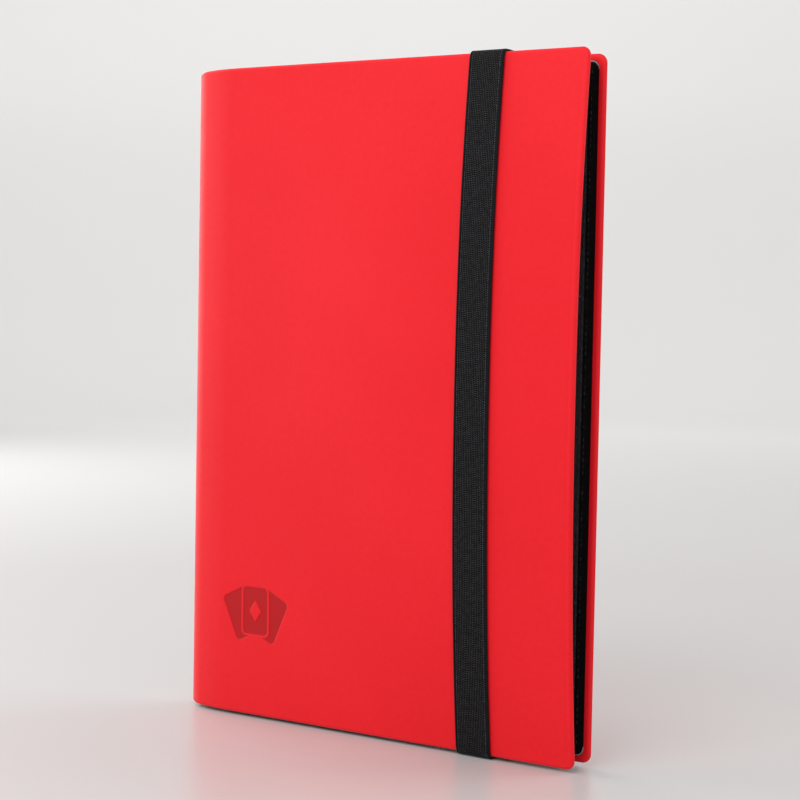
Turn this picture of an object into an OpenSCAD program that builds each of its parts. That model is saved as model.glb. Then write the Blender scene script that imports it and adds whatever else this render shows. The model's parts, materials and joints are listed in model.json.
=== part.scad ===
// Trading card binder standing upright: soft-wrapped covers, rounded spine, bound pocket pages and an elastic strap.
// X runs from the spine to the fore edge, Y from the front cover to the back cover, Z up.

/* [Covers] */
// Width from the spine to the fore edge
cover_w = 232; // [225:1:245]
// Height of the covers
cover_h = 325; // [320:1:340]
// Closed thickness over both covers
closed_t = 21; // [20.5:0.5:24]
// Radius of the outer corners
corner_r = 4.5; // [3:0.5:8]
// Outer plan radius where the spine turns into the covers
spine_r = 10; // [7:0.5:10]

/* [Cover layers] */
// Soft outer wrap
skin_t = 0.6; // [0.5:0.1:0.8]
// Padding under the wrap
foam_t = 0.4; // [0.3:0.1:0.5]
// Stiff board
board_t = 1.3; // [1.2:0.1:1.5]
// Inner panel, let 0.3 into the wrap
lining_t = 0.4; // [0.4:0.1:0.5]
// Bare margin of wrap round the inner panel
lining_margin = 2.6; // [2.4:0.2:5]

/* [Pages] */
// Distance between neighbouring pages
page_pitch = 0.6; // [0.58:0.01:0.6]
// Thickness of the page sheet
sheet_t = 0.12; // [0.1:0.01:0.12]
// Thickness of each clear pocket film
film_t = 0.1; // [0.08:0.01:0.11]
// Width of one pocket column
pocket_w = 66; // [64:0.5:66.5]
// Height of the pages
page_h = 314; // [300:1:315]
// Gap from the page edge to the fore edge of the covers
page_inset = 3; // [3:0.5:6]
// Radius of the page corners
page_corner_r = 4; // [2:0.5:6]

/* [Strap] */
// Width of the elastic
strap_w = 20; // [15:1:25]
// Thickness of the elastic
strap_t = 1.2; // [1:0.1:1.4]
// Strap centre as a share of the width from the spine
strap_share = 0.77; // [0.7:0.005:0.8]
// Length of the strap end that lies on the back cover
strap_tab = 16; // [12:1:24]
// Length of the strap tail under the inner panel
strap_tail = 24; // [16:1:30]
// Clearance between parts that move against each other
fit_gap = 0.3; // [0.2:0.05:0.4]
// Diameter of the sewing thread
thread_d = 0.2; // [0.1:0.05:0.3]

/* [Hidden] */
page_count = 20;
seam_gap = 0.15;          // half the gap at each spine fold
turn_t = 0.3;             // wrap turned in over the board
core_t = foam_t + board_t;                // padding and board together
wrap_t = skin_t + core_t + turn_t;        // full thickness of the wrapped edge
edge_r = wrap_t / 2;      // the wrapped edge is fully round
edge_wall = 1.1;          // from the outside of the edge to the board
core_r = corner_r - edge_wall;            // corner radius of padding and board
lining_r = corner_r - 1;                  // corner radius of the inner panel
base_z = strap_t + fit_gap;               // the strap runs under the covers
top_z = base_z + cover_h;
mid_z = base_z + cover_h / 2;
shift_y = (fit_gap - thread_d) / 2;       // centres the depth on the origin
front_y = shift_y - closed_t / 2;         // outer face of the front cover
back_y = shift_y + closed_t / 2;          // outer face of the back cover
spine_x = -cover_w / 2;
fore_x = cover_w / 2;
fold_x = spine_x + spine_r;               // the covers fold here
page_offset = 3.4;                        // from the fold to the line the pages turn about
page_x = fold_x + page_offset;
page_slack = 0.5;                         // free space between the last page and the back panel
page_root = 1.2;                          // bare sheet starts this far from the turning line
stack_t = (page_count - 1) * page_pitch;  // from the first sheet's middle to the last sheet's
back_face_y = back_y - wrap_t - lining_t + turn_t;   // inner face of the back panel
page_y0 = back_face_y - page_slack - sheet_t / 2 - film_t - stack_t;
page_fore_x = fore_x - page_inset;
page_z0 = mid_z - page_h / 2;
column_gap = 1.2;                         // open side of each pocket column
film_edge = 2.2;                          // sheet left bare along the fore edge
film_rim = 1.5;                           // sheet left bare above and below the films
binding_gap = 0.2;                        // between the binding and the spine's inner panel
binding_over = 0.27;                      // binding beyond the outer sheets
binding_x0 = spine_x + wrap_t + binding_gap;
binding_x1 = page_x - fit_gap;
binding_y0 = page_y0 - binding_over;
binding_y1 = page_y0 + stack_t + binding_over;
binding_h = page_h - 8;
strap_x = spine_x + strap_share * cover_w;
strap_x0 = strap_x - strap_w / 2;
slot_w = strap_w + 2 * fit_gap;
slot_h = strap_t + 2 * fit_gap;
tail_t = 1;                               // the tail is pressed thinner than the strap
stitch_l = 5;
stitch_count = 15;                        // binding stitches on each face
stitch_in = 1.5;                          // from the binding's open edge to its stitches
tab_stitch_edge = 6;                      // from the cover's edge to the first row across the strap end
tab_stitch_row = 5;
tab_stitch_in = 2;                        // rows stop this far inside the strap's sides
round_fn = 48;
cut = 1;                                  // cutting shapes reach this far beyond what they cut
eps = 0.01;

red = [0.82, 0.05, 0.08];
cream = [0.9, 0.88, 0.82];
grey = [0.55, 0.53, 0.5];
dark_grey = [0.2, 0.2, 0.2];
black = [0.04, 0.04, 0.045];
clear = [0.75, 0.77, 0.8, 0.4];

// ---- shared shapes ----

// A plate in XZ from y to y + t, square at x0 and with corners of radius r at x1.
module plate(x0, x1, z0, z1, y, t, r) {
    translate([0, y + t, 0]) rotate([90, 0, 0]) linear_extrude(height = t) plate_2d(x0, x1, z0, z1, r);
}

module plate_2d(x0, x1, z0, z1, r) {
    translate([x0, z0]) square([x1 - r - x0, z1 - z0]);
    translate([x1 - r, z0 + r]) square([r, z1 - z0 - 2 * r]);
    translate([x1 - r, z0 + r]) circle(r = r, $fn = round_fn);
    translate([x1 - r, z1 - r]) circle(r = r, $fn = round_fn);
}

// A half disc that bulges towards +X.
module half_disc(r) {
    intersection() {
        circle(r = r, $fn = round_fn);
        translate([0, -r]) square([r, 2 * r]);
    }
}

// A cover slab whose three free edges are fully round.
module cover_slab(y) {
    x0 = fold_x + seam_gap;
    c = corner_r - edge_r;
    plate(x0, fore_x - edge_r, base_z + edge_r, top_z - edge_r, y, wrap_t, c);
    translate([fore_x - edge_r, y + edge_r, base_z + corner_r])
        linear_extrude(height = cover_h - 2 * corner_r) half_disc(edge_r);
    for (side = [0, 1])
        translate([x0, y + edge_r, mid_z]) mirror([0, 0, side])
            translate([0, 0, cover_h / 2 - edge_r]) rotate([0, 90, 0]) mirror([1, 0, 0])
                linear_extrude(height = fore_x - corner_r - x0) half_disc(edge_r);
    for (side = [0, 1])
        translate([fore_x - corner_r, y + edge_r, mid_z]) mirror([0, 0, side])
            translate([0, 0, cover_h / 2 - corner_r]) rotate([90, 0, 0])
                rotate_extrude(angle = 90, $fn = 4 * round_fn) translate([c, 0]) half_disc(edge_r);
}

// The space that padding, board and panel take inside a cover; inward is +1 for the front cover and -1 for the back.
module layer(outer_y, inward, from, t, margin, r, past_fold = 0) {
    y = inward > 0 ? outer_y + from : outer_y - from - t;
    plate(fold_x + seam_gap - past_fold, fore_x - margin, base_z + margin, top_z - margin, y, t, r);
}

module strap_slots() {
    for (side = [0, 1])
        translate([strap_x - slot_w / 2, back_y - wrap_t, mid_z]) mirror([0, 0, side])
            translate([0, 0, cover_h / 2 - strap_tab - strap_t - fit_gap])
                cube([slot_w, wrap_t + cut, slot_h]);
}

module tail_pockets() {
    for (side = [0, 1])
        translate([strap_x - slot_w / 2, back_y - skin_t - core_t - eps, mid_z]) mirror([0, 0, side])
            translate([0, 0, cover_h / 2 - strap_tab - strap_t - fit_gap - strap_tail])
                cube([slot_w, tail_t + eps, strap_tail + slot_h]);
}

// Outline of the spine in plan at a depth inside its outer face, closed on the +X side at the fold.
module spine_2d(depth) {
    r = spine_r - depth;
    translate([fold_x - eps, front_y + depth]) square([2 * spine_r, closed_t - 2 * depth]);
    translate([spine_x + depth, front_y + spine_r]) square([spine_r, closed_t - 2 * spine_r]);
    translate([fold_x, front_y + spine_r]) circle(r = r, $fn = round_fn);
    translate([fold_x, back_y - spine_r]) circle(r = r, $fn = round_fn);
}

module spine_shell(from, to, z_in) {
    translate([0, 0, base_z + z_in]) linear_extrude(height = cover_h - 2 * z_in)
        intersection() {
            difference() {
                spine_2d(from);
                spine_2d(to);
            }
            translate([spine_x - cut, front_y - cut]) square([spine_r + cut - seam_gap, closed_t + 2 * cut]);
        }
}

// ---- covers ----

module cover_skin(outer_y, inward) {
    slab_y = inward > 0 ? outer_y : outer_y - wrap_t;
    difference() {
        cover_slab(slab_y);
        layer(outer_y, inward, skin_t, core_t, edge_wall, core_r, cut);
        layer(outer_y, inward, wrap_t - turn_t - eps, turn_t + cut, lining_margin, lining_r, cut);
    }
}

module back_skin() color(red) difference() {
    cover_skin(back_y, -1);
    strap_slots();
}
module back_foam() color(cream) difference() {
    layer(back_y, -1, skin_t, foam_t, edge_wall, core_r);
    strap_slots();
}
module back_board() color(grey) difference() {
    layer(back_y, -1, skin_t + foam_t, board_t, edge_wall, core_r);
    strap_slots();
    tail_pockets();
}
module back_lining() color(black)
    layer(back_y, -1, wrap_t - turn_t, lining_t, lining_margin, lining_r);

module front_skin() color(red) cover_skin(front_y, 1);
module front_foam() color(cream)
    layer(front_y, 1, skin_t, foam_t, edge_wall, core_r);
module front_board() color(grey)
    layer(front_y, 1, skin_t + foam_t, board_t, edge_wall, core_r);
module front_lining() color(black)
    layer(front_y, 1, wrap_t - turn_t, lining_t, lining_margin, lining_r);

// ---- spine and page binding ----

module spine_skin() color(red) spine_shell(0, skin_t, 0);
module spine_board() color(grey) spine_shell(skin_t, wrap_t - turn_t, edge_wall);
module spine_lining() color(black) spine_shell(wrap_t - turn_t, wrap_t - turn_t + lining_t, lining_margin);
module page_binding() color(black)
    translate([0, 0, mid_z - binding_h / 2]) linear_extrude(height = binding_h) intersection() {
        translate([binding_x0, binding_y0]) square([binding_x1 - binding_x0, binding_y1 - binding_y0]);
        spine_2d(wrap_t + 0.2);
    }
module binding_stitches() color(dark_grey)
    for (side = [0, 1], i = [0:stitch_count - 1])
        translate([binding_x1 - stitch_in - thread_d,
                   side == 0 ? binding_y0 - thread_d : binding_y1,
                   mid_z + (i - (stitch_count - 1) / 2) * 4 * stitch_l - stitch_l / 2])
            cube([2 * thread_d, thread_d, stitch_l]);

// ---- elastic strap ----

module strap_band() color(black) {
    run_y = front_y - fit_gap - strap_t;
    reach = back_y - wrap_t - run_y;
    translate([strap_x0, run_y, 0]) {
        cube([strap_w, strap_t, top_z + base_z]);
        cube([strap_w, reach, strap_t]);
        translate([0, 0, top_z + fit_gap]) cube([strap_w, reach, strap_t]);
    }
}

// The sewn end at the top edge; the bottom one is its mirror image.
module strap_end() {
    low = top_z - strap_tab;
    join_y = back_y - wrap_t + fit_gap;
    tail_y = back_y - skin_t - core_t;
    translate([strap_x0, join_y, top_z + fit_gap]) cube([strap_w, back_y + strap_t - join_y, strap_t]);
    translate([strap_x0, back_y, low]) cube([strap_w, strap_t, strap_tab + fit_gap + eps]);
    translate([strap_x0, tail_y, low - strap_t]) cube([strap_w, skin_t + core_t + strap_t, strap_t + eps]);
    translate([strap_x0, tail_y, low - strap_t - strap_tail + fit_gap]) cube([strap_w, tail_t, strap_tail]);
}

module flipped() translate([0, 0, 2 * mid_z]) mirror([0, 0, 1]) children();

module strap_end_top() color(black) strap_end();
module strap_end_bottom() color(black) flipped() strap_end();
module strap_stitches() color(dark_grey)
    for (side = [0, 1], row = [0, 1])
        translate([0, 0, mid_z]) mirror([0, 0, side])
            translate([strap_x0 + tab_stitch_in, back_y + strap_t,
                       cover_h / 2 - tab_stitch_edge - tab_stitch_row * row])
                cube([strap_w - 2 * tab_stitch_in, thread_d, 3 * thread_d]);

// ---- pages ----

module page_sheet(k) color(black)
    plate(page_x + page_root, page_fore_x, page_z0, page_z0 + page_h,
          page_y0 + k * page_pitch - sheet_t / 2, sheet_t, page_corner_r);

module page_pockets(k) color(clear)
    for (face = [0, 1], column = [0:2])
        translate([page_fore_x - film_edge - (column + 1) * pocket_w - column * column_gap,
                   page_y0 + k * page_pitch + (face == 0 ? -sheet_t / 2 - film_t : sheet_t / 2),
                   page_z0 + film_rim])
            cube([pocket_w, film_t, page_h - 2 * film_rim]);

module page_01_sheet() page_sheet(0);
module page_01_pockets() page_pockets(0);
module page_02_sheet() page_sheet(1);
module page_02_pockets() page_pockets(1);
module page_03_sheet() page_sheet(2);
module page_03_pockets() page_pockets(2);
module page_04_sheet() page_sheet(3);
module page_04_pockets() page_pockets(3);
module page_05_sheet() page_sheet(4);
module page_05_pockets() page_pockets(4);
module page_06_sheet() page_sheet(5);
module page_06_pockets() page_pockets(5);
module page_07_sheet() page_sheet(6);
module page_07_pockets() page_pockets(6);
module page_08_sheet() page_sheet(7);
module page_08_pockets() page_pockets(7);
module page_09_sheet() page_sheet(8);
module page_09_pockets() page_pockets(8);
module page_10_sheet() page_sheet(9);
module page_10_pockets() page_pockets(9);
module page_11_sheet() page_sheet(10);
module page_11_pockets() page_pockets(10);
module page_12_sheet() page_sheet(11);
module page_12_pockets() page_pockets(11);
module page_13_sheet() page_sheet(12);
module page_13_pockets() page_pockets(12);
module page_14_sheet() page_sheet(13);
module page_14_pockets() page_pockets(13);
module page_15_sheet() page_sheet(14);
module page_15_pockets() page_pockets(14);
module page_16_sheet() page_sheet(15);
module page_16_pockets() page_pockets(15);
module page_17_sheet() page_sheet(16);
module page_17_pockets() page_pockets(16);
module page_18_sheet() page_sheet(17);
module page_18_pockets() page_pockets(17);
module page_19_sheet() page_sheet(18);
module page_19_pockets() page_pockets(18);
module page_20_sheet() page_sheet(19);
module page_20_pockets() page_pockets(19);

back_skin();
back_foam();
back_board();
back_lining();
front_skin();
front_foam();
front_board();
front_lining();
spine_skin();
spine_board();
spine_lining();
page_binding();
binding_stitches();
strap_band();
strap_end_top();
strap_end_bottom();
strap_stitches();
page_01_sheet();
page_01_pockets();
page_02_sheet();
page_02_pockets();
page_03_sheet();
page_03_pockets();
page_04_sheet();
page_04_pockets();
page_05_sheet();
page_05_pockets();
page_06_sheet();
page_06_pockets();
page_07_sheet();
page_07_pockets();
page_08_sheet();
page_08_pockets();
page_09_sheet();
page_09_pockets();
page_10_sheet();
page_10_pockets();
page_11_sheet();
page_11_pockets();
page_12_sheet();
page_12_pockets();
page_13_sheet();
page_13_pockets();
page_14_sheet();
page_14_pockets();
page_15_sheet();
page_15_pockets();
page_16_sheet();
page_16_pockets();
page_17_sheet();
page_17_pockets();
page_18_sheet();
page_18_pockets();
page_19_sheet();
page_19_pockets();
page_20_sheet();
page_20_pockets();
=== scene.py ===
"""Trading card binder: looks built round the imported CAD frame, in metres."""
import json
import math
import bmesh
import bpy
from mathutils import Matrix, Vector


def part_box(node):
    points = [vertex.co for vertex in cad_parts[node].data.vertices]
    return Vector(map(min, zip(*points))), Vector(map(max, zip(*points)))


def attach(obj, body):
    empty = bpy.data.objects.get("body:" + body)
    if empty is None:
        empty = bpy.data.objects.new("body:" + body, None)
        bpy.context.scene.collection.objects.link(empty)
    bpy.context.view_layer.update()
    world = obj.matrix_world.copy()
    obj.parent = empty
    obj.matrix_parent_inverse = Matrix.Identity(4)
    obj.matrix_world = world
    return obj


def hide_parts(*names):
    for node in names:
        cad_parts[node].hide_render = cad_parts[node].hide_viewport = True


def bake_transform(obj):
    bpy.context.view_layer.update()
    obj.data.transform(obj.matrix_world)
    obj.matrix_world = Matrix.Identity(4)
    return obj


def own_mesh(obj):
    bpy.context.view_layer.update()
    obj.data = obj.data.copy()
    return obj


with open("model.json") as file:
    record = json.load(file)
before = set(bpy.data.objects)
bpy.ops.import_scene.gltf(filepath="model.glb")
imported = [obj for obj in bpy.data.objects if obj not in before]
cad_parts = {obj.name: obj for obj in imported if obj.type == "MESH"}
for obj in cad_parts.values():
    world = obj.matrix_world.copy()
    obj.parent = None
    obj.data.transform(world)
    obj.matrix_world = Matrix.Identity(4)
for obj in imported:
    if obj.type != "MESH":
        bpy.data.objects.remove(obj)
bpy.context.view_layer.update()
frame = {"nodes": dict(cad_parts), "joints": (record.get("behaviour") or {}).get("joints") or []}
MM = 0.001

# ---------------------------------------------------------------- sizes read from the CAD frame
joints = {joint["name"]: joint for joint in frame["joints"]}
front_lo, front_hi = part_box("front_skin")
back_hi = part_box("back_skin")[1]
spine_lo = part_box("spine_skin")[0]
band_lo, band_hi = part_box("strap_band")
panel_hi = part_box("back_lining")[1]
sheet_lo, sheet_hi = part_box("page_01_sheet")
last_lo, last_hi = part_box("page_20_sheet")
film_lo, film_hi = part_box("page_01_pockets")
binding_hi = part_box("page_binding")[1]

SPINE_X = spine_lo[0]
FORE_X = front_hi[0]
FOLD_X = joints["cover_fold"]["pos_m"][0]
FRONT_Y = front_lo[1]
BACK_Y = back_hi[1]
MID_Y = (FRONT_Y + BACK_Y) / 2
BASE_Z = front_lo[2]
TOP_Z = front_hi[2]
MID_Z = (BASE_Z + TOP_Z) / 2
HALF_H = (TOP_Z - BASE_Z) / 2
WRAP_T = front_hi[1] - front_lo[1]
EDGE_R = WRAP_T / 2
SPINE_R = FOLD_X - SPINE_X
CORNER_R = 4.5 * MM
PANEL_MARGIN = FORE_X - panel_hi[0] + 0.7 * MM  # a little more bare wrap than the CAD panel leaves
PANEL_R = 3.6 * MM
STRAP_X = (band_lo[0] + band_hi[0]) / 2
STRAP_W = (band_hi[0] - band_lo[0]) * 0.955     # the stretched elastic is a little narrower
STRAP_T = 1.15 * MM

# ---------------------------------------------------------------- how the covers leave their flat CAD places
PULL_IN = 4.5 * MM       # the strap pulls the front cover's fore side in
BOW_STRAP = 7.5 * MM     # between top and bottom the front cover bows out, by this under the strap
BOW_FORE = 7.15 * MM     # and by this at the fore edge
BOW_POWER = 2.2          # above 2, so that the bow is fuller than a parabola
EASE_IN = 2.2 * MM       # the wrap curves gently into the spine over this depth
EASE_WIDTH = 24 * MM     # and this width
SPINE_FULL = 0.8 * MM    # the wrap stands this full at the spine
DIP_TOP = 1.8 * MM       # the unpadded wrap is this much short at the spine's top
DIP_FOOT = 0.6 * MM      # and at its foot
DIP_REACH = 8 * MM       # which fades out over about this width
TAPER_TOP = 1.8 * MM     # the back cover is this much short at its top fore corner
TAPER_FOOT = 0.6 * MM    # and at its bottom fore corner


def smooth(t):
    t = min(max(t, 0.0), 1.0)
    return t * t * (3 - 2 * t)


def spine_share(x):
    """From 1 at the spine's outer face to 0 where the cover is flat."""
    return 1 - smooth((x - SPINE_X) / EASE_WIDTH)


def front_shift(x, z, y=None):
    """How far the front cover stands towards +Y of its flat place, at rest under the strap."""
    ease = EASE_IN * spine_share(x)
    if y is not None:
        ease *= min(max((MID_Y - y) / (MID_Y - FRONT_Y), 0.0), 1.0)
    pull = ease + PULL_IN * max(x - FOLD_X, 0.0) / (FORE_X - FOLD_X)
    bow = 1 - min(abs(z - MID_Z) / HALF_H, 1.0) ** BOW_POWER
    if x < STRAP_X:
        size = BOW_STRAP * smooth((x - SPINE_X) / (STRAP_X - SPINE_X))
    else:
        size = BOW_STRAP + (BOW_FORE - BOW_STRAP) * (x - STRAP_X) / (FORE_X - STRAP_X)
    return pull - size * bow


def spine_out(x):
    return SPINE_FULL * spine_share(x)


def drawn_in(z, share, top, foot):
    """The change in height where the top edge comes down by top and the foot comes up by foot."""
    up = (z - MID_Z) / HALF_H
    most = top if up > 0 else foot
    return -most * share * up * abs(up) ** 3


def spine_dip(x, z):
    return drawn_in(z, math.exp((SPINE_X - x) / DIP_REACH), DIP_TOP, DIP_FOOT)


def back_taper(x, z):
    out = max(x - FOLD_X, 0.0) / (FORE_X - FOLD_X)
    return drawn_in(z, out ** 3, TAPER_TOP, TAPER_FOOT)


# ---------------------------------------------------------------- mesh helpers
SHARP_ANGLE = math.radians(40)
GRID = 5 * MM
FINE_GRID = 0.4 * MM


def mesh_object(name, verts, faces, uvs, materials, face_materials=None):
    mesh = bpy.data.meshes.new(name)
    mesh.from_pydata([tuple(v) for v in verts], [], faces)
    for material in materials:
        mesh.materials.append(material)
    layer = mesh.uv_layers.new(name="UVMap")
    for loop in mesh.loops:
        layer.data[loop.index].uv = uvs[loop.vertex_index]
    if face_materials is not None:
        for polygon, index in zip(mesh.polygons, face_materials):
            polygon.material_index = index
    work = bmesh.new()
    work.from_mesh(mesh)
    bmesh.ops.recalc_face_normals(work, faces=work.faces)
    for edge in work.edges:
        edge.smooth = edge.calc_face_angle(0.0) < SHARP_ANGLE
    work.to_mesh(mesh)
    work.free()
    for polygon in mesh.polygons:
        polygon.use_smooth = True
    obj = bpy.data.objects.new(name, mesh)
    bpy.context.scene.collection.objects.link(obj)
    return obj


def stations(start, stop, step, fine=None):
    """Evenly spaced places from start to stop, closer together inside the fine range."""
    if fine is None:
        count = max(int((stop - start) / step), 1)
        return [start + (stop - start) * i / count for i in range(count + 1)]
    low, high = fine
    middle = stations(low, high, FINE_GRID)
    return stations(start, low, step)[:-1] + middle[:-1] + stations(high, stop, step)


# ---------------------------------------------------------------- plain pressed mark: three fanned cards
MARK_X = SPINE_X + 47 * MM
MARK_Z = BASE_Z + 53 * MM
MARK_REACH = 22 * MM
MARK_DEPTH = 0.28 * MM
MARK_SOFT = 0.55 * MM    # width of the mark's sloping sides
CARD_W = 16 * MM
CARD_H = 24 * MM
CARD_R = 2.4 * MM
CARD_GAP = 1.0 * MM      # plain wrap between the middle card and the two behind it
FAN_FOOT = 22 * MM
FAN_LEAN = math.radians(25)
PIP_HALF = 5.2 * MM
PIP_SLIM = 0.72          # the diamond's width as a share of its height
PIP_SLOPE = 0.62         # turns the diamond's sum of offsets into a rough distance


def card_distance(x, z, angle):
    """Distance outside a rounded card that leans by an angle about the fan's foot."""
    c, s = math.cos(angle), math.sin(angle)
    px = x - MARK_X
    pz = z - MARK_Z + FAN_FOOT
    across = px * c + pz * s
    along = pz * c - px * s - FAN_FOOT
    dx = abs(across) - CARD_W / 2 + CARD_R
    dz = abs(along) - CARD_H / 2 + CARD_R
    return math.hypot(max(dx, 0.0), max(dz, 0.0)) + min(max(dx, dz), 0.0) - CARD_R


def pip_distance(x, z):
    """Distance outside the diamond that stands raised on the middle card."""
    return (abs(x - MARK_X) / PIP_SLIM + abs(z - MARK_Z) - PIP_HALF) * PIP_SLOPE


def pressed(x, z):
    """From 0 on plain wrap to 1 on the floor of the pressed mark."""
    if abs(x - MARK_X) > MARK_REACH or abs(z - MARK_Z) > MARK_REACH:
        return 0.0
    middle = card_distance(x, z, 0.0)
    behind = min(card_distance(x, z, FAN_LEAN), card_distance(x, z, -FAN_LEAN))
    on_middle = min(smooth(0.5 - middle / MARK_SOFT), smooth(0.5 + pip_distance(x, z) / MARK_SOFT))
    on_behind = min(smooth(0.5 - behind / MARK_SOFT), smooth(0.5 + (middle - CARD_GAP) / MARK_SOFT))
    return max(on_middle, on_behind)


# ---------------------------------------------------------------- plates that follow a cover
SPINE_ARC = 16           # columns round the spine's quarter turn
CORNER_BLOCK = 9         # columns and rows in a rounded corner


class Sheet:
    """A grid over one cover, from the spine's middle or from start to the rounded fore corners.

    side is 1 for the front cover and -1 for the back. A column is (x, y, normal x, normal y, path length,
    share of the corner block or None). A row is (z, share of the corner block).
    """

    def __init__(self, side, from_spine, radius=CORNER_R, margin=0.0, start=FOLD_X, fine=False):
        self.side = side
        self.radius = radius
        base = BASE_Z + margin
        top = TOP_Z - margin
        end = FORE_X - margin - radius
        outer_y = FRONT_Y if side > 0 else BACK_Y
        fine_x = (MARK_X - MARK_REACH, MARK_X + MARK_REACH) if fine else None
        fine_z = (MARK_Z - MARK_REACH, MARK_Z + MARK_REACH) if fine else None
        self.columns = []
        start_u = 0.0
        if from_spine:
            run = abs(MID_Y - outer_y) - SPINE_R
            for t in (0.0, 0.5):
                self.columns.append((SPINE_X, MID_Y - side * run * t, 1.0, 0.0, run * t, None))
            for i in range(SPINE_ARC):
                a = math.pi / 2 * i / SPINE_ARC
                x = FOLD_X - SPINE_R * math.cos(a)
                y = outer_y + side * SPINE_R * (1 - math.sin(a))
                self.columns.append((x, y, math.cos(a), side * math.sin(a), run + SPINE_R * a, None))
            start_u = run + SPINE_R * math.pi / 2
        for x in stations(start, end, GRID, fine_x)[:-1]:
            self.columns.append((x, outer_y, 0.0, side, start_u + x - FOLD_X, None))
        for i in range(CORNER_BLOCK + 1):
            self.columns.append((end, outer_y, 0.0, side, start_u + end - FOLD_X, i / CORNER_BLOCK))
        self.rows = [(base + radius, -i / CORNER_BLOCK) for i in range(CORNER_BLOCK, 0, -1)]
        self.rows += [(z, 0.0) for z in stations(base + radius, top - radius, GRID, fine_z)]
        self.rows += [(top - radius, i / CORNER_BLOCK) for i in range(1, CORNER_BLOCK + 1)]

    def point(self, i, j, inset, depth):
        """The place and UV of a grid point, drawn in from the outline and down from the outer face."""
        px, py, nx, ny, u, a = self.columns[i]
        z, b = self.rows[j]
        reach = self.radius - inset
        if a is None:
            x = px
            z = z + reach * b
        else:
            x = px + reach * a * math.sqrt(1 - b * b / 2)
            z = z + reach * b * math.sqrt(1 - a * a / 2)
            u = u + x - px
        shift = front_shift(x, z, py) if self.side > 0 else 0.0
        dip = spine_dip(x, z) + (back_taper(x, z) if self.side < 0 else 0.0)
        return Vector((x + nx * depth - spine_out(x), py + ny * depth + shift, z + dip)), (u, z)

    def border(self):
        """Grid points along the outline, from the foot of the spine side round to its top."""
        n = len(self.columns)
        m = len(self.rows)
        path = [(i, 0) for i in range(n)]
        path += [(n - 1, j) for j in range(1, m)]
        path += [(i, m - 1) for i in range(n - 2, -1, -1)]
        return path

    def build(self, name, rings, materials, ring_materials=None, relief=None):
        """rings is a list of (inset, depth) from the outer face's rim to the inner face's rim."""
        n = len(self.columns)
        m = len(self.rows)
        verts, uvs, faces, mats = [], [], [], []

        def face_grid(ring, raised):
            index = {}
            for i in range(n):
                for j in range(m):
                    p, uv = self.point(i, j, *ring)
                    if raised is not None:
                        p.y += self.side * raised(p.x, p.z)
                    index[(i, j)] = len(verts)
                    verts.append(p)
                    uvs.append(uv)
            for i in range(n - 1):
                for j in range(m - 1):
                    faces.append((index[(i, j)], index[(i + 1, j)], index[(i + 1, j + 1)], index[(i, j + 1)]))
                    mats.append(0)
            return [index[key] for key in self.border()]

        def strip(a, b, material):
            for k in range(len(a) - 1):
                faces.append((a[k], a[k + 1], b[k + 1], b[k]))
                mats.append(material)

        previous = face_grid(rings[0], relief)
        for k, (inset, depth) in enumerate(rings[1:-1]):
            current = []
            for i, j in self.border():
                p, uv = self.point(i, j, inset, depth)
                current.append(len(verts))
                verts.append(p)
                uvs.append((uv[0], uv[1] + depth * (1 if j > m / 2 else -1)))
            strip(previous, current, ring_materials[k] if ring_materials else 0)
            previous = current
        strip(previous, face_grid(rings[-1], None), 0)
        return mesh_object(name, verts, faces, uvs, materials, mats)


# ---------------------------------------------------------------- node helpers
SOCKETS = {"color": "Base Color", "rough": "Roughness", "normal": "Normal", "alpha": "Alpha",
           "specular": "Specular IOR Level", "sheen": "Sheen Weight", "sheen_rough": "Sheen Roughness",
           "sheen_tint": "Sheen Tint", "coat": "Coat Weight", "coat_rough": "Coat Roughness"}


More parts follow.
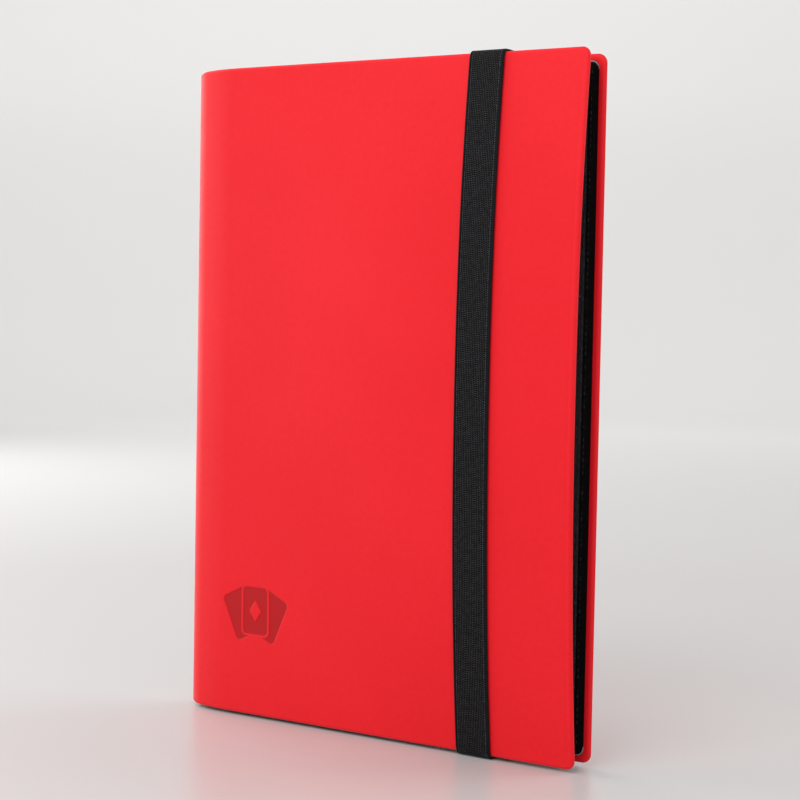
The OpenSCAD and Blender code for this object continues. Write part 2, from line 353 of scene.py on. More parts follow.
class Mat:
    """A node material on the Principled shader. Its patterns run on the UV map, in metres."""

    def __init__(self, name):
        self.mat = bpy.data.materials.new(name)
        self.mat.use_nodes = True
        self.tree = self.mat.node_tree
        self.bsdf = self.tree.nodes["Principled BSDF"]
        coordinates = self.tree.nodes.new("ShaderNodeUVMap")
        coordinates.uv_map = "UVMap"
        self.uv = coordinates.outputs["UV"]

    def connect(self, socket, value):
        if isinstance(value, bpy.types.NodeSocket):
            self.tree.links.new(value, socket)
        else:
            socket.default_value = value

    def node(self, kind, inputs=None, **settings):
        item = self.tree.nodes.new(kind)
        for key, value in settings.items():
            setattr(item, key, value)
        for key, value in (inputs or {}).items():
            self.connect(item.inputs[key], value)
        return item

    def math(self, operation, a, b=0.0):
        return self.node("ShaderNodeMath", {0: a, 1: b}, operation=operation).outputs[0]

    def times(self, a, b):
        return self.math("MULTIPLY", a, b)

    def sum(self, first, *others):
        """first plus value * weight for each (value, weight) in others."""
        for value, weight in others:
            first = self.math("ADD", first, self.times(value, weight))
        return first

    def waves(self, value, pitch):
        """A cosine that repeats each time value grows by pitch."""
        return self.math("COSINE", self.times(value, 2 * math.pi / pitch))

    def scaled(self, sx, sy):
        return self.node("ShaderNodeMapping", {"Vector": self.uv, "Scale": (sx, sy, 1.0)}).outputs[0]

    def noise(self, scale, detail=2.0, rough=0.5):
        inputs = {"Vector": self.uv, "Scale": scale, "Detail": detail, "Roughness": rough}
        return self.node("ShaderNodeTexNoise", inputs).outputs["Fac"]

    def voronoi(self, scale, source=None, feature="F1"):
        inputs = {"Vector": source or self.uv, "Scale": scale}
        return self.node("ShaderNodeTexVoronoi", inputs, feature=feature).outputs["Distance"]

    def mix(self, factor, a, b):
        item = self.node("ShaderNodeMix", {0: factor}, data_type="RGBA")
        self.connect(item.inputs[6], a)
        self.connect(item.inputs[7], b)
        return item.outputs[2]

    def ramp(self, value, low, high, to_low=0.0, to_high=1.0):
        return self.node("ShaderNodeMapRange", {0: value, 1: low, 2: high, 3: to_low, 4: to_high}).outputs[0]

    def bump(self, height, strength, distance):
        inputs = {"Height": height, "Strength": strength, "Distance": distance}
        return self.node("ShaderNodeBump", inputs).outputs[0]

    def put(self, **sockets):
        for key, value in sockets.items():
            self.connect(self.bsdf.inputs[SOCKETS[key]], value)
        return self.mat


def rgb(r, g, b):
    """A colour given as it looks on a screen, turned to linear light."""
    def linear(c):
        c = c / 255.0
        return c / 12.92 if c <= 0.04045 else ((c + 0.055) / 1.055) ** 2.4
    return (linear(r), linear(g), linear(b), 1.0)


# ---------------------------------------------------------------- materials
def wrap_material():
    """Red soft-touch wrap. The point attribute "press" darkens the pressed mark."""
    m = Mat("soft_touch_wrap")
    cloud = m.noise(14.0, 3.0)
    mottle = m.noise(330.0, 4.0, 0.6)
    grain = m.noise(1500.0, 4.0, 0.6)
    pores = m.voronoi(1100.0)
    press = m.node("ShaderNodeAttribute", attribute_name="press").outputs["Fac"]
    color = m.mix(m.ramp(cloud, 0.3, 0.7), rgb(232, 16, 30), rgb(238, 21, 35))
    color = m.mix(m.ramp(mottle, 0.35, 0.65, 0.0, 0.16), color, rgb(205, 12, 24))
    color = m.mix(m.ramp(grain, 0.35, 0.75, 0.0, 0.12), color, rgb(190, 10, 20))
    color = m.mix(m.times(press, 0.9), color, rgb(174, 4, 14))
    rough = m.sum(m.ramp(m.noise(60.0, 3.0), 0.3, 0.7, 0.48, 0.55), (press, 0.06))
    height = m.sum(m.times(grain, 0.7), (pores, 0.5), (mottle, 0.8))
    return m.put(color=color, rough=rough, normal=m.bump(height, 0.22, 0.00012), specular=0.22, sheen=0.10,
                 sheen_rough=0.5, sheen_tint=(1.0, 0.7, 0.7, 1.0))


def panel_material():
    m = Mat("grained_panel")
    wrinkle = m.voronoi(420.0, m.scaled(1.0, 0.6), "SMOOTH_F1")
    fine = m.noise(900.0, 3.0)
    return m.put(color=m.mix(m.ramp(fine, 0.3, 0.7), rgb(5, 5, 6), rgb(10, 10, 11)),
                 rough=m.ramp(fine, 0.2, 0.8, 0.4, 0.52),
                 normal=m.bump(m.sum(wrinkle, (fine, 0.3)), 0.7, 0.0003), specular=0.09)


def panel_edge_highlight_material():
    # The pale grey is a painted highlight: it stands for the light that the panel's rim catches inside the
    # shaded gap.
    m = Mat("panel_edge_painted_highlight")
    streak = m.noise(500.0, 2.0)
    return m.put(color=m.mix(m.ramp(streak, 0.3, 0.7), rgb(120, 118, 120), rgb(160, 157, 159)),
                 rough=m.ramp(streak, 0.3, 0.7, 0.3, 0.45))


def sheet_material():
    m = Mat("page_sheet")
    sand = m.voronoi(1300.0)
    fine = m.noise(2200.0, 2.0)
    return m.put(color=m.mix(m.ramp(sand, 0.1, 0.6), rgb(24, 24, 26), rgb(9, 9, 10)),
                 rough=m.ramp(fine, 0.2, 0.8, 0.42, 0.6),
                 normal=m.bump(m.sum(sand, (fine, 0.4)), 0.4, 0.0001), specular=0.15)


def sheet_edge_shade_material():
    # Near black, darker than the sheet's faces: painted shade for the narrow gaps between the pages.
    m = Mat("page_sheet_edge")
    cutting = m.noise(1800.0, 2.0)
    return m.put(color=m.mix(cutting, rgb(2, 2, 2), rgb(7, 7, 8)), rough=0.7,
                 normal=m.bump(cutting, 0.3, 0.0001), specular=0.03)


def film_material():
    """Clear glossy film, thin enough for the black sheet to show through."""
    m = Mat("pocket_film")
    wave = m.noise(35.0, 2.0)
    fine = m.noise(500.0, 2.0)
    height = m.sum(m.times(wave, 2.0), (fine, 0.02))
    return m.put(color=m.mix(wave, rgb(84, 87, 92), rgb(102, 105, 110)),
                 rough=m.ramp(fine, 0.3, 0.7, 0.10, 0.16), alpha=m.ramp(wave, 0.3, 0.7, 0.22, 0.28),
                 normal=m.bump(height, 0.2, 0.0004), specular=1.0, coat=0.8, coat_rough=0.08)


def weld_material():
    m = Mat("pocket_weld")
    dots = m.voronoi(900.0)
    return m.put(color=m.mix(m.ramp(dots, 0.1, 0.5), rgb(88, 88, 92), rgb(50, 50, 54)),
                 rough=0.4, normal=m.bump(dots, 0.6, 0.0002))


RIB_PITCH = 0.95 * MM                # ribs across the elastic
BEAD_PITCH = 0.85 * MM               # loops along each rib
DASH_PITCH = 1.25 * MM               # stitches of the seam
WEAVE_HALF = STRAP_W / 2 - 1.1 * MM  # plain selvedges outside this
SEAM_AT = STRAP_W / 2 - 1.75 * MM    # a fine seam inside each selvedge


def strap_material():
    """UV.x runs across the elastic in metres from its centre, UV.y along it."""
    m = Mat("ribbed_elastic")
    split = m.node("ShaderNodeSeparateXYZ", {0: m.uv})
    across, along = split.outputs[0], split.outputs[1]
    side = m.math("ABSOLUTE", across)
    field = m.ramp(side, WEAVE_HALF, WEAVE_HALF - 0.2 * MM)
    # each rib's loops start at their own place, so that they don't line up across the strap
    cell = m.math("DIVIDE", across, RIB_PITCH)
    rib = m.math("ROUND", cell)
    own_start = m.node("ShaderNodeTexWhiteNoise", {"W": rib}, noise_dimensions="1D").outputs["Value"]
    drift = m.sum(own_start, (m.noise(90.0, 1.0), 1.4))
    turns = m.math("ADD", m.math("DIVIDE", along, BEAD_PITCH), drift)
    dots = m.ramp(m.waves(turns, 1.0), -0.4, 1.0)
    crown = m.ramp(m.waves(cell, 1.0), -0.8, 0.9)
    bead = m.times(m.times(dots, crown), field)
    seam = m.ramp(m.math("ABSOLUTE", m.math("SUBTRACT", side, SEAM_AT)), 0.28 * MM, 0.12 * MM)
    stitch = m.times(seam, m.ramp(m.waves(along, DASH_PITCH), -0.3, 0.5))
    selvedge = m.ramp(side, WEAVE_HALF + 0.25 * MM, WEAVE_HALF + 0.5 * MM, 0.0, 0.9)
    fuzz = m.noise(2500.0, 2.0)
    uneven = m.ramp(m.noise(420.0, 2.0), 0.35, 0.65, 0.35, 1.0)
    # The loop crowns carry a painted highlight of uneven strength, and the gaps between the loops are painted
    # darker as shade.
    color = m.mix(m.ramp(bead, 0.1, 0.5), rgb(1, 1, 2), rgb(10, 10, 12))
    color = m.mix(m.times(m.ramp(bead, 0.5, 0.9), uneven), color, rgb(92, 93, 98))
    color = m.mix(selvedge, color, rgb(15, 18, 21))
    color = m.mix(m.times(stitch, uneven), color, rgb(68, 70, 74))
    height = m.sum(m.times(bead, 0.8), (fuzz, 0.15), (stitch, 0.6))
    return m.put(color=color, rough=m.ramp(fuzz, 0.3, 0.7, 0.62, 0.8), normal=m.bump(height, 0.6, 0.00022),
                 sheen=0.03, sheen_rough=0.5, specular=0.12)


def thread_material():
    m = Mat("thread")
    twist = m.noise(3000.0, 2.0)
    return m.put(color=m.mix(twist, rgb(70, 70, 74), rgb(110, 110, 114)), rough=0.65,
                 normal=m.bump(twist, 0.5, 0.0001))


def page_thread_material():
    """Thread of the pages' edge stitches, dark in places."""
    m = Mat("page_thread")
    twist = m.noise(3000.0, 2.0)
    worn = m.ramp(m.noise(170.0, 2.0), 0.4, 0.62)
    color = m.mix(twist, rgb(58, 58, 60), rgb(84, 83, 84))
    return m.put(color=m.mix(worn, rgb(16, 16, 17), color), rough=0.65, normal=m.bump(twist, 0.5, 0.0001),
                 specular=0.1)


def tape_material():
    m = Mat("binding_tape")
    weave_pitch = 0.7 * MM
    split = m.node("ShaderNodeSeparateXYZ", {0: m.uv})
    crossing = m.times(m.waves(split.outputs[0], weave_pitch), m.waves(split.outputs[1], weave_pitch))
    weave = m.ramp(crossing, -1.0, 1.0)
    return m.put(color=m.mix(weave, rgb(16, 16, 18), rgb(34, 34, 37)), rough=0.75,
                 normal=m.bump(weave, 0.6, 0.00015))


def board_material(name, dark, light):
    m = Mat(name)
    fibre = m.noise(700.0, 4.0)
    return m.put(color=m.mix(fibre, dark, light), rough=0.85, normal=m.bump(fibre, 0.3, 0.0002))


WRAP = wrap_material()
PANEL = panel_material()
PANEL_EDGE_HIGHLIGHT = panel_edge_highlight_material()
PAGE = sheet_material()
PAGE_EDGE_SHADE = sheet_edge_shade_material()
FILM = film_material()
WELDED = weld_material()
ELASTIC = strap_material()
THREAD = thread_material()
PAGE_THREAD = page_thread_material()
TAPE = tape_material()
BOARD = board_material("grey_board", rgb(120, 116, 108), rgb(150, 146, 138))
FOAM = board_material("white_foam", rgb(214, 212, 204), rgb(232, 230, 224))


def repaint(node, material):
    """Give a CAD node a UV map along its faces and a detailed material."""
    obj = frame["nodes"][node]
    mesh = obj.data
    layer = mesh.uv_layers[0] if mesh.uv_layers else mesh.uv_layers.new(name="UVMap")
    layer.name = "UVMap"
    for polygon in mesh.polygons:
        n = polygon.normal
        for index in polygon.loop_indices:
            co = mesh.vertices[mesh.loops[index].vertex_index].co
            layer.data[index].uv = (co.y if abs(n.x) > 0.7 else co.x, co.y if abs(n.z) > 0.7 else co.z)
    if obj.material_slots:
        for slot in obj.material_slots:
            slot.material = material
    else:
        mesh.materials.append(material)


# ---------------------------------------------------------------- wrap, inner panels, padding and boards
COVERS = ((1, "front", "cover_fold"), (-1, "back", "spine_fold"))
GROOVE_IN = 2.8 * MM     # the board ends this far inside the fore edge, and the wrap dips there
GROOVE_HALF = 0.6 * MM
GROOVE_DEPTH = 0.09 * MM
GROOVE_FADE = 8 * MM     # the groove fades out over this height near the corners
ROLL_STEPS = 12
RECESS_DEPTH = 0.25 * MM
CORE_INSET = 1.15 * MM
CORE_START = FOLD_X + 10.5 * MM  # the padding and the boards stay clear of the hinge
# padding and board: name, material, then where each starts and ends inside the cover's outer face
LAYERS = (("foam", FOAM, 0.6 * MM, 1.0 * MM), ("board", BOARD, 1.0 * MM, 2.3 * MM))


def wrap_relief(x, z):
    """A soft groove along the fore edge, where the board ends under the wrap."""
    fade = smooth((min(z - BASE_Z, TOP_Z - z) - 2 * MM) / GROOVE_FADE)
    return GROOVE_DEPTH * fade * math.exp(-((FORE_X - x - GROOVE_IN) / GROOVE_HALF) ** 2)


def front_relief(x, z):
    return wrap_relief(x, z) + MARK_DEPTH * pressed(x, z)


def wrap_rings():
    """The edge rolls round to the inside, which has a shallow recess for the inner panel."""
    rings = []
    for k in range(ROLL_STEPS + 1):
        a = math.pi * k / ROLL_STEPS
        reach = 1.5 * MM if k < ROLL_STEPS / 2 else 2.0 * MM
        rings.append((reach * (1 - math.sin(a)), EDGE_R * (1 - math.cos(a))))
    recess = WRAP_T - RECESS_DEPTH
    rings.append((PANEL_MARGIN, WRAP_T))
    rings.append((PANEL_MARGIN + 0.02 * MM, recess))
    rings.append((PANEL_MARGIN + 0.04 * MM, recess))
    return rings


def cover_wrap(side, title):
    relief = front_relief if side > 0 else wrap_relief
    wrap = Sheet(side, True, fine=side > 0).build(title + "_wrap", wrap_rings(), [WRAP], None, relief)
    press = wrap.data.attributes.new("press", "FLOAT", "POINT")
    for vertex in wrap.data.vertices:
        x, y, z = vertex.co
        outside = side > 0 and y < FRONT_Y + front_shift(x, z) + 1 * MM
        press.data[vertex.index].value = pressed(x, z) if outside else 0.0
    return wrap


def cover_panel(side, title):
    """A thin plate let into the wrap, with a bevelled cut edge whose pale grey is a painted highlight."""
    rings = [(0.55 * MM, WRAP_T + 0.14 * MM), (0.10 * MM, WRAP_T + 0.09 * MM),
             (0.0, WRAP_T - 0.05 * MM), (0.0, WRAP_T - 0.24 * MM)]
    outline = Sheet(side, True, radius=PANEL_R, margin=PANEL_MARGIN)
    return outline.build(title + "_panel", rings, [PANEL, PANEL_EDGE_HIGHLIGHT], [1, 1])


for side, title, fold in COVERS:
    wrap = cover_wrap(side, title)
    panel = cover_panel(side, title)
    x, y, z = joints[fold]["pos_m"]
    for piece in (wrap, panel):
        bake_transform(piece)
    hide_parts(title + "_skin", "spine_skin")
    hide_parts(title + "_lining", "spine_lining")

for side, title, fold in COVERS:
    for layer, material, outer, inner in LAYERS:
        rings = [(CORE_INSET, outer), (CORE_INSET, inner)]
        piece = Sheet(side, False, start=CORE_START).build(title + "_" + layer + "_layer", rings, [material])
        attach(piece, title + "_cover")
        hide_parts(title + "_" + layer)


def spine_layer(name, inset, outer, inner, material):
    """A curved plate round the spine from fold to fold, between two depths inside its outer face."""
    quarter = 12
    levels = 30
    line = []
    for k in range(quarter + 1):
        a = math.pi / 2 * (1 - k / quarter)
        x = FOLD_X - SPINE_R * math.cos(a)
        y = FRONT_Y + SPINE_R * (1 - math.sin(a))
        line.append((x, y, math.cos(a), math.sin(a)))
    line += [(x, 2 * MID_Y - y, nx, -ny) for x, y, nx, ny in reversed(line)]
    verts, uvs, faces = [], [], []
    for j in range(levels + 1):
        z = BASE_Z + inset + (TOP_Z - BASE_Z - 2 * inset) * j / levels
        for depth in (outer, inner):
            for k, (x, y, nx, ny) in enumerate(line):
                shift = front_shift(x, z, y) if ny > 0 else 0.0
                verts.append((x + nx * depth - spine_out(x), y + ny * depth + shift, z + spine_dip(x, z)))
                uvs.append((k * MM, z))
    n = len(line)
    ring = list(range(n)) + list(range(2 * n - 1, n - 1, -1))
    for j in range(levels):
        low = j * 2 * n
        high = low + 2 * n
        for a, b in zip(ring, ring[1:] + ring[:1]):
            faces.append((low + a, low + b, high + b, high + a))
    for j in (0, levels):
        for k in range(n - 1):
            a = j * 2 * n + k
            faces.append((a, a + 1, a + n + 1, a + n))
    return mesh_object(name, verts, faces, uvs, [material])


spine_stiffener = spine_layer("spine_board_layer", CORE_INSET, 0.65 * MM, 2.2 * MM, BOARD)
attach(spine_stiffener, "spine")
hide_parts("spine_board")
repaint("page_binding", TAPE)
repaint("binding_stitches", THREAD)
repaint("strap_stitches", THREAD)

# ---------------------------------------------------------------- elastic strap
RIB_DEPTH = 0.11 * MM
CONTACT = 0.05 * MM      # air between the strap and the wrap
TURN_R = EDGE_R + STRAP_T / 2 + CONTACT
RUN_ROWS = 120
ARM_LEN = 3.0 * MM       # how far the run goes past the front cover's ends, towards the back
ARM_LAP = 0.3 * MM       # the arms start this far inside the run
TAIL_LAP = 0.2 * MM      # and the tails this far inside the arms
TAB_LEN = 16 * MM        # each end lies this far down the back cover
TAB_TURN = 2 * MM        # radius of its turn into the slot


def ribbon(name, path, width, thick):
    """A ribbed band along a path in the YZ plane at the strap. path is a list of (y, z) on its centre."""
    points = [Vector((0.0, y, z)) for y, z in path]
    half = width / 2
    soft = thick / 2
    flat = width - 2 * soft
    steps = 4 * int(flat / RIB_PITCH)
    edge_steps = 6
    profile = []
    for face in (1, -1):
        for i in range(steps + 1):
            a = face * (flat * i / steps - flat / 2)
            rib = 0.5 + 0.5 * math.cos(2 * math.pi * a / RIB_PITCH) if abs(a) < WEAVE_HALF else 1.0
            u = a + (0 if face > 0 else 0.5 * RIB_PITCH)
            profile.append((a, face * (thick / 2 - RIB_DEPTH * (1 - rib)), u))
        for k in range(1, edge_steps):
            angle = face * math.pi / 2 - math.pi * k / edge_steps
            a = face * (half - soft) + soft * math.cos(angle)
            profile.append((a, soft * math.sin(angle), half * face))
    verts, uvs, faces = [], [], []
    length = 0.0
    count = len(profile)
    for i, p in enumerate(points):
        if i:
            length += (p - points[i - 1]).length
        before = points[max(i - 1, 0)]
        after = points[min(i + 1, len(points) - 1)]
        normal = (after - before).normalized().cross(Vector((1.0, 0.0, 0.0)))
        for a, b, u in profile:
            verts.append(Vector((STRAP_X + a, 0.0, 0.0)) + p + normal * b)
            uvs.append((u, length))
    for i in range(len(points) - 1):
        low = i * count
        high = low + count
        for k in range(count):
            n = (k + 1) % count
            faces.append((low + k, low + n, high + n, high + k))
    faces.append(tuple(range(count)))
    faces.append(tuple(range((len(points) - 1) * count, len(points) * count)))
    return mesh_object(name, verts, faces, uvs, [ELASTIC])


def turn(cy, cz, radius, start, stop, steps=8):
    """Points round an arc in the YZ plane, from one angle in degrees to another."""
    angles = [math.radians(start + (stop - start) * k / steps) for k in range(steps + 1)]
    return [(cy + radius * math.cos(a), cz + radius * math.sin(a)) for a in angles]


def run_y(z):
    """The run's centre on the front cover, clear of the highest place under its width."""
    places = (STRAP_X - STRAP_W / 2, STRAP_X, STRAP_X + STRAP_W / 2)
    return FRONT_Y + min(front_shift(x, z) for x in places) - STRAP_T / 2 - CONTACT


end_y = front_shift(STRAP_X, TOP_Z) + FRONT_Y + EDGE_R
high_z = TOP_Z - EDGE_R + TURN_R
low_z = BASE_Z + EDGE_R - TURN_R
run_high = TOP_Z - EDGE_R - 1.0 * MM
run_low = BASE_Z + EDGE_R + 1.0 * MM
path = [(end_y + ARM_LEN, high_z), (end_y + ARM_LEN / 2, high_z)]
path += turn(end_y, TOP_Z - EDGE_R, TURN_R, 90, 180)
for k in range(RUN_ROWS + 1):
    z = run_high + (run_low - run_high) * k / RUN_ROWS
    path.append((run_y(z), z))
path += turn(end_y, BASE_Z + EDGE_R, TURN_R, 180, 270)
path += [(end_y + ARM_LEN / 2, low_z), (end_y + ARM_LEN, low_z)]
band = ribbon("strap_run", path, STRAP_W, STRAP_T)
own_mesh(band)
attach(band, "strap")
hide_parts("strap_band")

tab_y = BACK_Y - EDGE_R
outer_y = tab_y + TURN_R
first = end_y + ARM_LEN - ARM_LAP
join = tab_y - 1.2 * MM
for title, sign, start_level, cover_z in (("top", 1, high_z, TOP_Z), ("bottom", -1, low_z, BASE_Z)):
    taper = back_taper(STRAP_X, cover_z)
    edge_z = cover_z + taper
    level = start_level + taper
    line = [(first + (join - first) * k / 8, start_level + taper * k / 8) for k in range(9)]
    arm = ribbon("strap_arm_" + title, line, STRAP_W - 0.1 * MM, STRAP_T - 0.06 * MM)
    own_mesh(arm)
    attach(arm, "back_cover")
    centre = edge_z - sign * EDGE_R
    slot_z = edge_z - sign * TAB_LEN
    curve = [(join - TAIL_LAP, level)] + turn(tab_y, centre, TURN_R, 90 * sign, 0)
    curve += [(outer_y, centre - sign * 4 * MM), (outer_y, slot_z + sign * 3 * MM)]
    curve += turn(outer_y - TAB_TURN, slot_z + sign * TAB_TURN, TAB_TURN, 0, -90 * sign)
    curve += [(outer_y - 3.2 * MM, slot_z)]
    tail = ribbon("strap_tail_" + title, curve, STRAP_W, STRAP_T)
    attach(tail, "back_cover")
    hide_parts("strap_end_" + title)

# ---------------------------------------------------------------- pages
PAGES = 20
PAGE_X = joints["page_01_turn"]["pos_m"][0]
PAGE_R = 4.0 * MM
PAGE_END = sheet_hi[0] - PAGE_R
SHEET_T = 0.11 * MM
ROOT_PITCH = (last_lo[1] - sheet_lo[1]) / (PAGES - 1)
FORE_PITCH = 0.26 * MM   # the stack is pressed together at the fore edge
FORE_WAY = 70 * MM       # the sheets come together over this way from their turning lines
LAST_ROOT = (last_lo[1] + last_hi[1]) / 2
LAST_FORE = BACK_Y - WRAP_T - 0.1 * MM - 0.45 * MM
ROOT_START = binding_hi[0] - 1.0 * MM
ROOT_END = PAGE_X + 7 * MM
FILM_T = 0.05 * MM
FILM_AIR = 0.01 * MM     # between sheet and film
FILM_GAP = 1.2 * MM      # between the columns of pockets
FILM_W = (film_hi[0] - film_lo[0] - 2 * FILM_GAP) / 3
WELD = 0.9 * MM
WELD_RISE = 0.03 * MM    # the welded lines stand this much above the film
STITCH_PITCH = 3.0 * MM
STITCH_LEN = 1.7 * MM
STITCH_W = 0.4 * MM
STITCH_T = 0.06 * MM
STITCH_IN = 0.9 * MM     # from the sheet's fore edge


def page_y(k, x):
    """The middle of page k's sheet."""
    root = LAST_ROOT - (PAGES - 1 - k) * ROOT_PITCH
    fore = LAST_FORE - (PAGES - 1 - k) * FORE_PITCH
    return root + (fore - root) * smooth((x - PAGE_X) / FORE_WAY)


# all parts of a page have their columns at the same places, so that none cuts through another
film_starts = [film_lo[0] + column * (FILM_W + FILM_GAP) for column in range(3)]
page_stations = [ROOT_START + (ROOT_END - ROOT_START) * i / 8 for i in range(8)] + [ROOT_END]
for film_x in film_starts:
    page_stations += [film_x + (FILM_W - WELD) * i / 8 for i in range(9)] + [film_x + FILM_W]
page_stations = sorted(x for x in page_stations if x < PAGE_END - 0.2 * MM)


def page_sheet(k, title):
    """The black sheet, from inside the binding to its rounded fore corners."""
    block = 5
    z0, z1 = sheet_lo[2], sheet_hi[2]
    columns = [(x, None) for x in page_stations] + [(PAGE_END, i / block) for i in range(block + 1)]
    rows = [(z0 + PAGE_R, -i / block) for i in range(block, 0, -1)]
    rows += [(z0 + PAGE_R + (z1 - z0 - 2 * PAGE_R) * i / 12, 0.0) for i in range(13)]
    rows += [(z1 - PAGE_R, i / block) for i in range(1, block + 1)]
    verts, uvs, faces = [], [], []
    n, m = len(columns), len(rows)
    for face in (-0.5, 0.5):
        for x, a in columns:
            for z, b in rows:
                if a is None:
                    px, pz = x, z + PAGE_R * b
                else:
                    px = x + PAGE_R * a * math.sqrt(1 - b * b / 2)
                    pz = z + PAGE_R * b * math.sqrt(1 - a * a / 2)
                verts.append((px, page_y(k, px) + face * SHEET_T, pz))
                uvs.append((px, pz))
    for base in (0, n * m):
        for i in range(n - 1):
            for j in range(m - 1):
                a = base + i * m + j
                faces.append((a, a + m, a + m + 1, a + 1))
    border = [i * m for i in range(n)] + [(n - 1) * m + j for j in range(1, m)]
    border += [i * m + m - 1 for i in range(n - 2, -1, -1)] + [j for j in range(m - 2, 0, -1)]
    # the cut edges take the near-black painted-shade material
    mats = [0] * len(faces) + [1] * len(border)
    for a, b in zip(border, border[1:] + border[:1]):
        faces.append((a, b, b + n * m, a + n * m))
    return mesh_object(title + "_black_sheet", verts, faces, uvs, [PAGE, PAGE_EDGE_SHADE], mats)


class Plates:
    """Thin plates that follow one page, gathered into one mesh."""

    def __init__(self, page):
        self.page = page
        self.verts, self.uvs, self.faces, self.mats = [], [], [], []

    def add(self, x0, x1, z0, z1, sign, low, high, material=0):
        """A plate on the sheet's sign side. low and high are heights above the sheet's middle."""
        base = len(self.verts)
        places = [x0] + [x for x in page_stations if x0 + 0.01 * MM < x < x1 - 0.01 * MM] + [x1]
        for x in places:
            for off in sorted((sign * low, sign * high)):
                for z in (z0, z1):
                    self.verts.append((x, page_y(self.page, x) + off, z))
                    self.uvs.append((x, z))
        last = base + 4 * (len(places) - 1)
        for a in range(base, last, 4):
            for p, q in ((0, 1), (1, 3), (3, 2), (2, 0)):
                self.faces.append((a + p, a + q, a + 4 + q, a + 4 + p))
        for a in (base, last):
            self.faces.append((a, a + 1, a + 3, a + 2))
        self.mats += [material] * (len(self.faces) - len(self.mats))

    def finish(self, name, materials):
        return mesh_object(name, self.verts, self.faces, self.uvs, materials, self.mats)


def page_pockets(k, title):
    """Three columns of three side-loading pockets on each face: clear film with welded lines."""
    plates = Plates(k)
    z0, z1 = film_lo[2], film_hi[2]
    step = (z1 - z0 - WELD) / 3
    low = SHEET_T / 2 + FILM_AIR
    film_high = low + FILM_T
    weld_high = film_high + WELD_RISE
    for sign in (-1, 1):
        for x0 in film_starts:
            x1 = x0 + FILM_W - WELD
            for row in range(3):
                z = z0 + WELD + row * step
                plates.add(x0, x1, z, z + step - WELD, sign, low, film_high)
            for row in range(4):
                z = z0 + row * step
                plates.add(x0, x1, z, z + WELD, sign, low, weld_high, 1)
            plates.add(x1, x0 + FILM_W, z0, z1, sign, low, weld_high, 1)
    return plates.finish(title + "_clear_pockets", [FILM, WELDED])


def page_seam(k, title):
    """Short stitches along the fore edge, on both faces of the sheet."""
    plates = Plates(k)
    x = sheet_hi[0] - STITCH_IN
    z = sheet_lo[2] + PAGE_R + 1 * MM
    while z < sheet_hi[2] - PAGE_R - 2 * MM:
        for sign in (-1, 1):
            plates.add(x, x + STITCH_W, z, z + STITCH_LEN, sign, SHEET_T / 2, SHEET_T / 2 + STITCH_T)
        z += STITCH_PITCH
    return plates.finish(title + "_edge_stitches", [PAGE_THREAD])


for k in range(PAGES):
    title = "page_%02d" % (k + 1)
    sheet = page_sheet(k, title)
    y = page_y(k, PAGE_X)
    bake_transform(sheet)
    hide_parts(title + "_sheet")
    films = page_pockets(k, title)
    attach(films, title)
    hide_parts(title + "_pockets")
    seam = page_seam(k, title)
    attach(seam, title)

# ---------------------------------------------------------------- floor, light and camera
FLOOR_FLAT = 2.6         # the floor is flat out to this radius
FLOOR_BEND = 0.9         # and then bends up into a round backdrop
BACKDROP_TOP = 1.3
FLOOR_SIDES = 96


def floor_material():
    """Pale floor, painted lighter away from the object as painted light that makes up for the lamps' falloff
    there.
    """
    m = Mat("studio_floor")
    speckle = m.noise(900.0, 2.0)
    place = m.node("ShaderNodeTexCoord").outputs["Object"]
    away = m.node("ShaderNodeVectorMath", {0: place}, operation="LENGTH").outputs["Value"]
    near = m.mix(speckle, rgb(193, 191, 190), rgb(199, 197, 196))
    return m.put(color=m.mix(m.ramp(away, 0.6, 2.2), near, rgb(239, 238, 237)), rough=0.32,
                 normal=m.bump(speckle, 0.05, 0.0001), specular=0.4)


def studio_floor():
    profile = [(FLOOR_FLAT * k / 12, 0.0) for k in range(12)]
    for k in range(17):
        a = math.pi / 2 * k / 16
        profile.append((FLOOR_FLAT + FLOOR_BEND * math.sin(a), FLOOR_BEND - FLOOR_BEND * math.cos(a)))
    profile.append((FLOOR_FLAT + FLOOR_BEND, BACKDROP_TOP))
    verts, faces = [], []
    for radius, z in profile:
        for k in range(FLOOR_SIDES):
            a = 2 * math.pi * k / FLOOR_SIDES
            verts.append((radius * math.cos(a), radius * math.sin(a), z))
    for i in range(len(profile) - 1):
        low = i * FLOOR_SIDES
        high = low + FLOOR_SIDES
        for k in range(FLOOR_SIDES):
            n = (k + 1) % FLOOR_SIDES
            faces.append((low + k, low + n, high + n, high + k))
    return mesh_object("floor", verts, faces, [(v[0], v[1]) for v in verts], [floor_material()])


studio_floor()

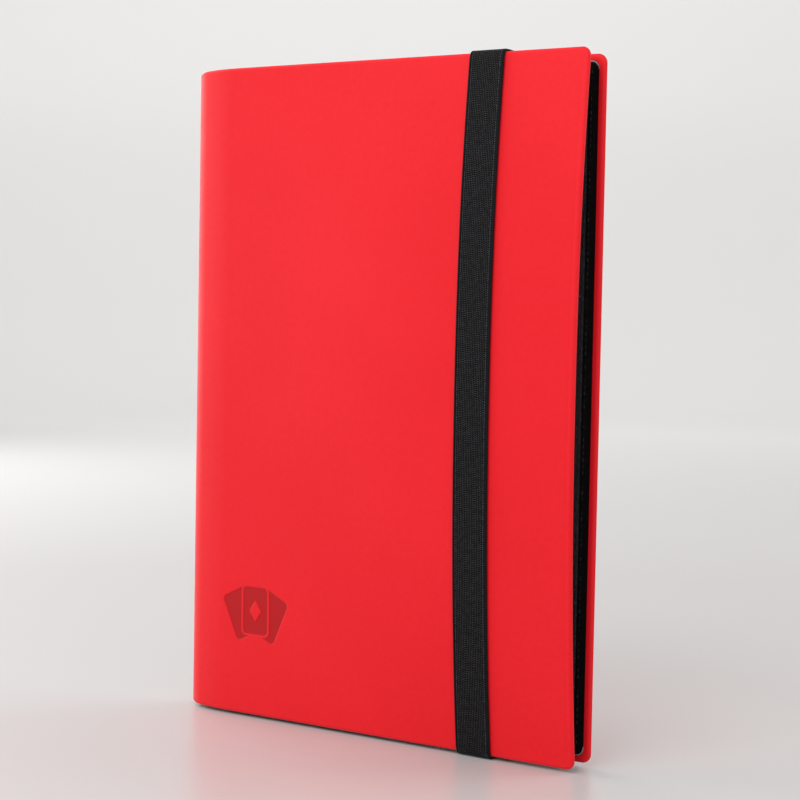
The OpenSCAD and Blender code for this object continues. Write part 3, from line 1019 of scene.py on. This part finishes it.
world = bpy.data.worlds.new("studio")
bpy.context.scene.world = world
world.use_nodes = True
background = world.node_tree.nodes["Background"]
background.inputs["Color"].default_value = (1.0, 0.995, 0.99, 1.0)
background.inputs["Strength"].default_value = 0.58


def area_light(name, place, target, width, height, power):
    data = bpy.data.lights.new(name, "AREA")
    data.shape = "RECTANGLE"
    data.size = width
    data.size_y = height
    data.energy = power
    obj = bpy.data.objects.new(name, data)
    obj.location = place
    obj.visible_camera = False
    direction = Vector(target) - Vector(place)
    obj.rotation_euler = direction.to_track_quat("-Z", "Y").to_euler()
    bpy.context.scene.collection.objects.link(obj)


area_light("key", (0.1, -1.3, 1.3), (0, 0, 0.22), 1.2, 1.2, 15.2)
area_light("right", (1.3, -0.9, 0.6), (0.05, 0, 0.18), 1.0, 1.0, 2.5)
area_light("left", (-1.4, 0.0, 0.7), (0, 0, 0.2), 1.7, 1.3, 20)
area_light("back", (0.9, 1.0, 1.0), (0, 0, 0.16), 1.0, 1.0, 6)
area_light("backdrop", (-1.2, 1.5, 1.5), (-2.1, 2.9, 0.5), 1.6, 0.9, 9)


def aimed_camera(place, yaw, pitch, roll, lens):
    """A camera that looks along +Y, then turned left by yaw, down by pitch and over by roll, in degrees."""
    yaw, pitch, roll = math.radians(yaw), math.radians(pitch), math.radians(roll)
    forward = Vector((-math.sin(yaw) * math.cos(pitch), math.cos(yaw) * math.cos(pitch), -math.sin(pitch)))
    right = Vector((math.cos(yaw), math.sin(yaw), 0.0))
    up = right.cross(forward)
    tilted_right = right * math.cos(roll) + up * math.sin(roll)
    tilted_up = up * math.cos(roll) - right * math.sin(roll)
    data = bpy.data.cameras.new("camera")
    data.sensor_width = 36.0
    data.lens = lens
    data.clip_start = 0.05
    obj = bpy.data.objects.new("camera", data)
    turned = Matrix((tilted_right, tilted_up, -forward)).transposed().to_4x4()
    obj.matrix_world = Matrix.Translation(place) @ turned
    bpy.context.scene.collection.objects.link(obj)
    return obj


bpy.context.scene.camera = aimed_camera((0.5767, -0.7743, 0.2167), 36.15, 3.13, 1.05, 90.0)
bpy.context.scene.view_settings.view_transform = "Standard"
